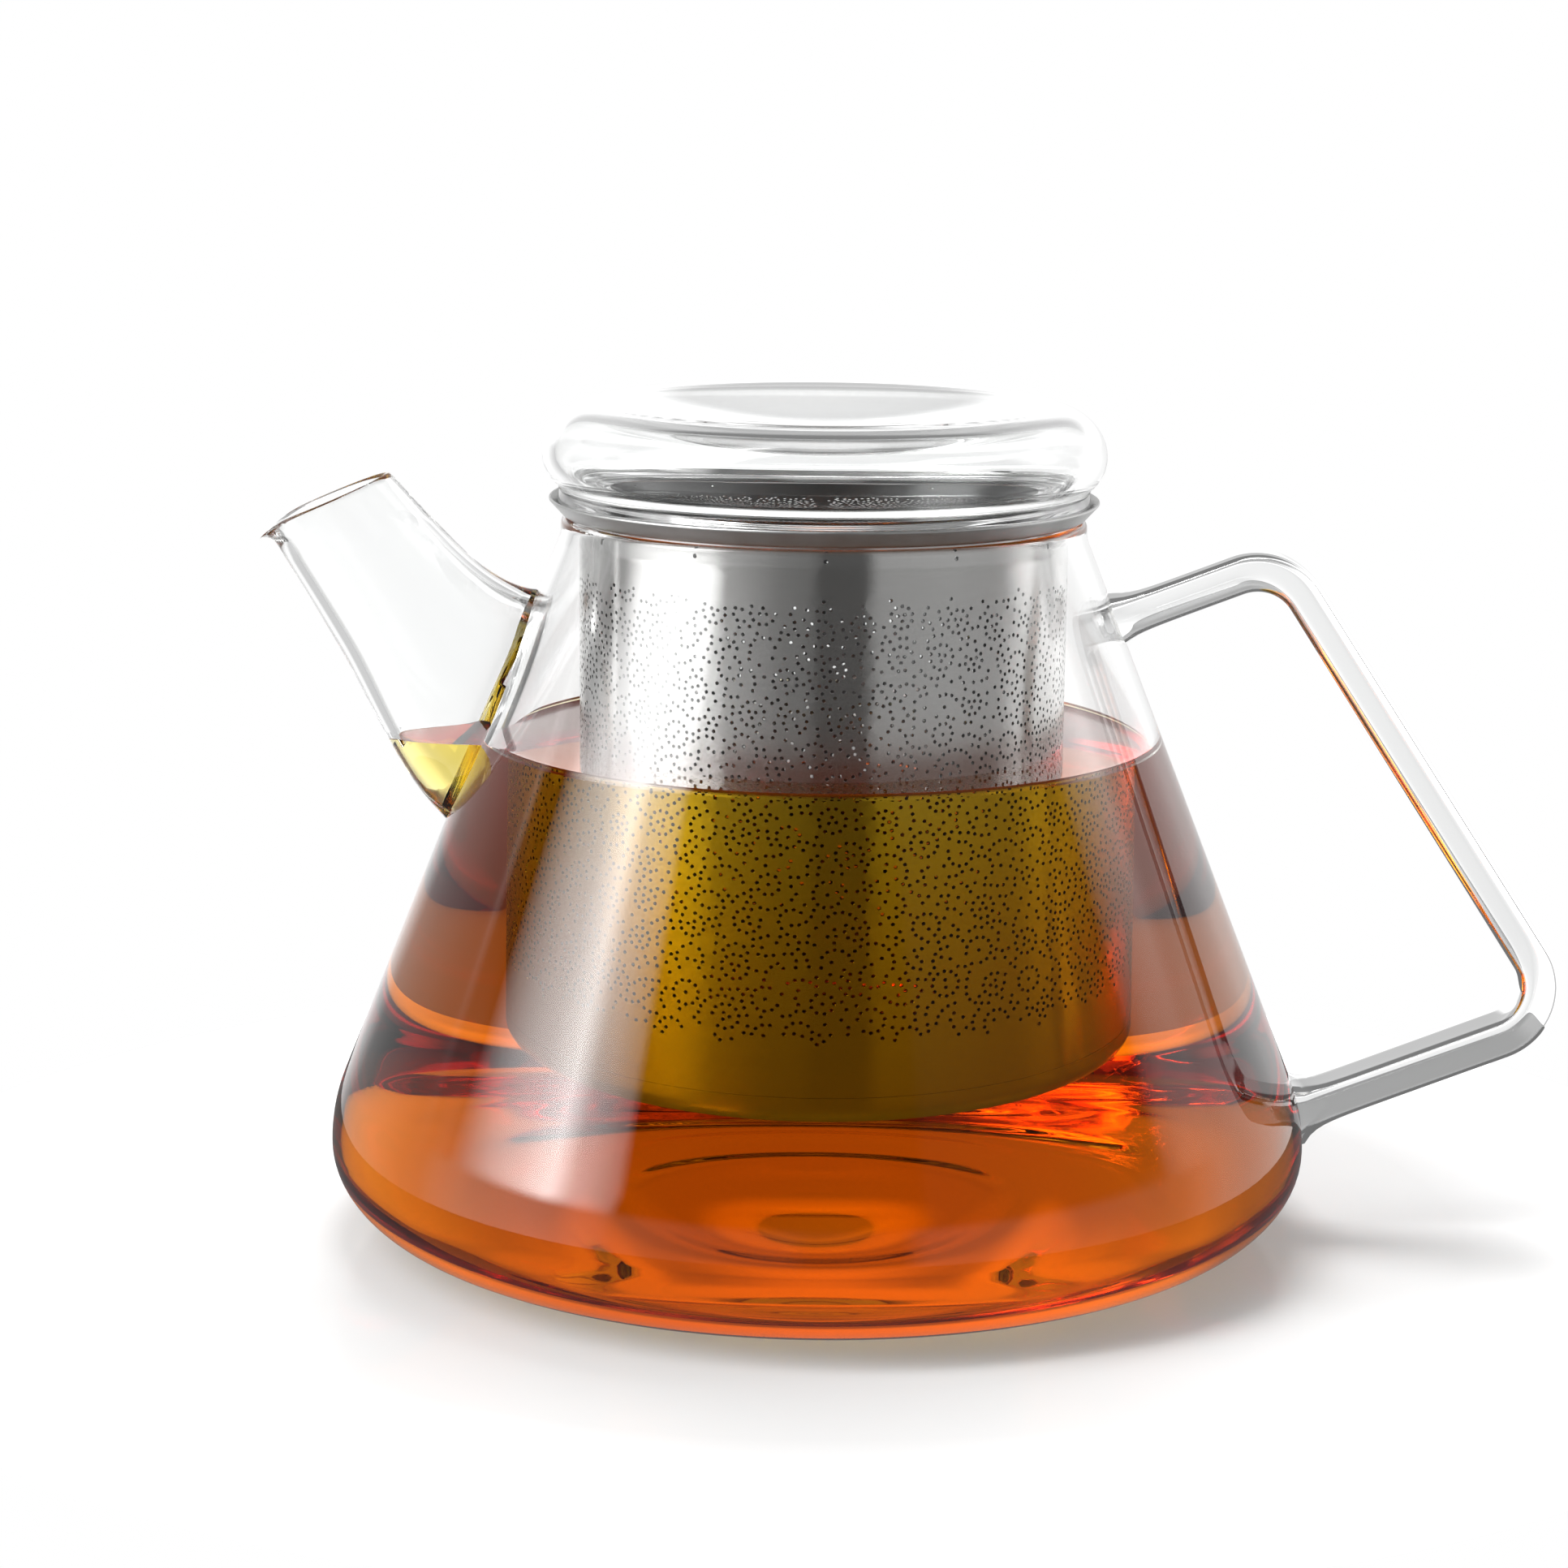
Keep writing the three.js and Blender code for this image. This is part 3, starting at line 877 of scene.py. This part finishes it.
def build_object():
    """Makes every piece with its materials. The tea has no CAD node, so it only rides on the pot."""
    glass = clear_glass("borosilicate_glass", GLASS_IOR)
    wet_glass = clear_glass("glass_against_tea", GLASS_IOR / TEA_IOR)
    sheet = brushed_steel("basket_sheet", (0.62, 0.615, 0.605), 0.21)
    # A darker copy of the same brushed sheet, colour 0.3 against 0.62, for the inside face and the hole
    # walls: painted shade.
    shaded_inner_sheet = brushed_steel("basket_sheet_inside_painted_shade", (0.3, 0.3, 0.3), 0.4)
    satin = satin_steel()
    tea = tea_fill()
    pot = glass_pot()
    wet_where_covered(pot, tea)
    place_piece(
        pot, "pot", "borosilicate_glass", [glass, wet_glass],
        "glass_vessel", "spout_tube", "spout_weld", "handle_band", "handle_weld_upper", "handle_weld_lower",
    )
    liquid = [tea_liquid("tea_surface", TEA_IOR), tea_liquid("tea_side", 1)]
    place_piece(tea, "pot", "borosilicate_glass", liquid)
    place_piece(basket_sleeve(), "infuser", "basket_sheet", [sheet, shaded_inner_sheet], "basket_sleeve")
    place_piece(basket_floor(), "infuser", "basket_sheet", [sheet], "basket_floor")
    place_piece(basket_collar(), "infuser", "collar_steel", [satin], "collar_ring")
    place_piece(glass_lid(), "lid", "borosilicate_glass", [glass], "lid_shell")


# ---- Table, camera and light ----

def add_floor():
    """A round table top, just below the pot's foot."""
    below = -0.2 * MM
    corners = [(TABLE_RADIUS * math.cos(a), TABLE_RADIUS * math.sin(a), below) for a in circle_angles()]
    floor = mesh_piece("floor", corners, [tuple(range(len(corners)))], smooth=False)
    floor.data.materials.append(table_top())


def add_camera():
    """The photographer's place: in front of the pot, looking slightly down on it."""
    camera = bpy.data.cameras.new("camera")
    camera.sensor_width = 36
    camera.lens = CAMERA_LENS
    camera.clip_start = 0.01
    holder = bpy.data.objects.new("camera", camera)
    tilt = Matrix.Rotation(math.radians(90 - CAMERA_TILT), 4, "X")
    roll = Matrix.Rotation(math.radians(CAMERA_ROLL), 4, "Z")
    holder.matrix_world = Matrix.Translation(CAMERA_PLACE) @ tilt @ roll
    bpy.context.scene.collection.objects.link(holder)
    bpy.context.scene.camera = holder


# Brightness round the set, in pairs of bearing and level. The bearing is 0 towards -Y, where the camera
# stands, 90 towards +X and -90 towards -X. LOW_LIGHT is level with the pot and below. Above it come
# MID_LIGHT, with a brighter band behind the pot, HIGH_LIGHT, UPPER_LIGHT and the even OVERHEAD_LIGHT.
LOW_LIGHT = [
    (-180, 1.05), (-163, 1.2), (-155, 1), (-147, 0.6), (-125, 0.6), (-112, 0.5), (-104, 0.6), (-98, 1.1),
    (-90, 1.5), (-68, 1.75), (-56, 1.3), (-50, 1), (-47, 0.62), (-20, 0.3), (-7, 0.25), (-2, 0.12),
    (19, 0.12), (25, 0.52), (60, 0.58), (85, 0.52), (92, 0.6), (107, 1.3), (145, 1.3), (155, 1), (167, 0.85),
    (180, 1.05),
]
HIGH_LIGHT = [
    (-180, 0.55), (-163, 0.62), (-156, 0.7), (-146, 0.5), (-110, 0.5), (-108, 1.4), (-106, 0.02),
    (-97, 0.02), (-93, 2), (-75, 11), (-66, 19), (-60, 8), (-49, 2.6), (-47, 0.02), (24, 0.02), (27, 0.08),
    (88, 0.08), (91, 0.8), (97, 1.8), (107, 3), (114, 1.6), (150, 0.9), (167, 0.52), (180, 0.55),
]
UPPER_LIGHT = [
    (-180, 0.2), (-108, 0.2), (-99, 0.02), (-93, 2), (-75, 11), (-66, 19), (-60, 8), (-49, 2.6),
    (-47, 0.02), (24, 0.02), (27, 0.3), (60, 0.3), (70, 0.1), (90, 0.2), (97, 1.5), (125, 1), (140, 0.25),
    (180, 0.2),
]
BAND_BEHIND = 1.45
MID_LIGHT = [(turn, level * BAND_BEHIND if abs(turn) > 154 else level) for turn, level in LOW_LIGHT]
OVERHEAD_LIGHT = 3


def add_studio_light():
    """A backdrop whose brightness depends on the direction alone. The camera itself sees it plain white."""
    world = bpy.data.worlds.new("studio")
    bpy.context.scene.world = world
    world.use_nodes = True
    tree = world.node_tree
    nodes, links = tree.nodes, tree.links
    background = nodes["Background"]

    def math_node(operation, *values):
        node = nodes.new("ShaderNodeMath")
        node.operation = operation
        for socket, value in zip(node.inputs, values):
            if isinstance(value, (int, float)):
                socket.default_value = value
            else:
                links.new(value, socket)
        return node.outputs[0]

    def soft_step(value, start, end):
        node = nodes.new("ShaderNodeMapRange")
        node.interpolation_type = "SMOOTHSTEP"
        node.inputs["From Min"].default_value = start
        node.inputs["From Max"].default_value = end
        links.new(value, node.inputs["Value"])
        return node.outputs["Result"]

    direction = nodes.new("ShaderNodeTexCoord").outputs["Generated"]
    split = nodes.new("ShaderNodeSeparateXYZ")
    links.new(direction, split.inputs[0])
    x, y, z = split.outputs
    bearing = math_node("MULTIPLY", math_node("ARCTAN2", x, math_node("MULTIPLY", y, -1)), 180 / math.pi)
    height = math_node("MULTIPLY", math_node("ARCSINE", z), 180 / math.pi)
    turn = math_node("DIVIDE", math_node("ADD", bearing, 180), 360)

    def ring_of_light(stops):
        """Brightness by bearing, from pairs of degrees and level."""
        ramp = nodes.new("ShaderNodeValToRGB")
        peak = 20
        elements = ramp.color_ramp.elements
        elements.remove(elements[1])
        elements[0].position = 0
        elements[0].color = (stops[0][1] / peak,) * 3 + (1,)
        for degrees, amount in stops[1:]:
            element = elements.new((degrees + 180) / 360)
            element.color = (amount / peak,) * 3 + (1,)
        links.new(turn, ramp.inputs["Fac"])
        return math_node("MULTIPLY", ramp.outputs["Color"], peak)

    def blend(lower, upper, share):
        mix = nodes.new("ShaderNodeMix")
        mix.data_type = "FLOAT"
        for name, value in (("Factor", share), ("A", lower), ("B", upper)):
            if isinstance(value, (int, float)):
                mix.inputs[name].default_value = value
            else:
                links.new(value, mix.inputs[name])
        return mix.outputs["Result"]

    level = blend(ring_of_light(LOW_LIGHT), ring_of_light(MID_LIGHT), soft_step(height, 0, 4))
    level = blend(level, ring_of_light(HIGH_LIGHT), soft_step(height, 8, 16))
    level = blend(level, ring_of_light(UPPER_LIGHT), soft_step(height, 31, 40))
    level = blend(level, OVERHEAD_LIGHT, soft_step(height, 74, 80))
    level = blend(level, 1.0, nodes.new("ShaderNodeLightPath").outputs["Is Camera Ray"])
    links.new(level, background.inputs["Strength"])
    background.inputs["Color"].default_value = (1, 1, 1, 1)


def add_back_light():
    """A soft lamp high behind the pot, which only lights the table and throws the shadow forwards."""
    lamp = bpy.data.lights.new("back_light", "AREA")
    lamp.size = 0.7
    lamp.energy = 22
    holder = bpy.data.objects.new("back_light", lamp)
    place = Vector((0, 0.7, 1.2))
    holder.location = place
    holder.rotation_euler = place.to_track_quat("Z", "Y").to_euler()
    holder.visible_camera = False
    holder.visible_glossy = False
    holder.visible_transmission = False
    bpy.context.scene.collection.objects.link(holder)


def set_picture_quality():
    """Glass in front of glass needs many passes of light, and white stays white."""
    scene = bpy.context.scene
    scene.view_settings.view_transform = "Standard"
    scene.cycles.max_bounces = 48
    scene.cycles.transmission_bounces = 48
    scene.cycles.glossy_bounces = 40
    scene.cycles.diffuse_bounces = 4
    scene.cycles.sample_clamp_indirect = 6


add_camera()
add_floor()
add_studio_light()
add_back_light()
set_picture_quality()
build_object()
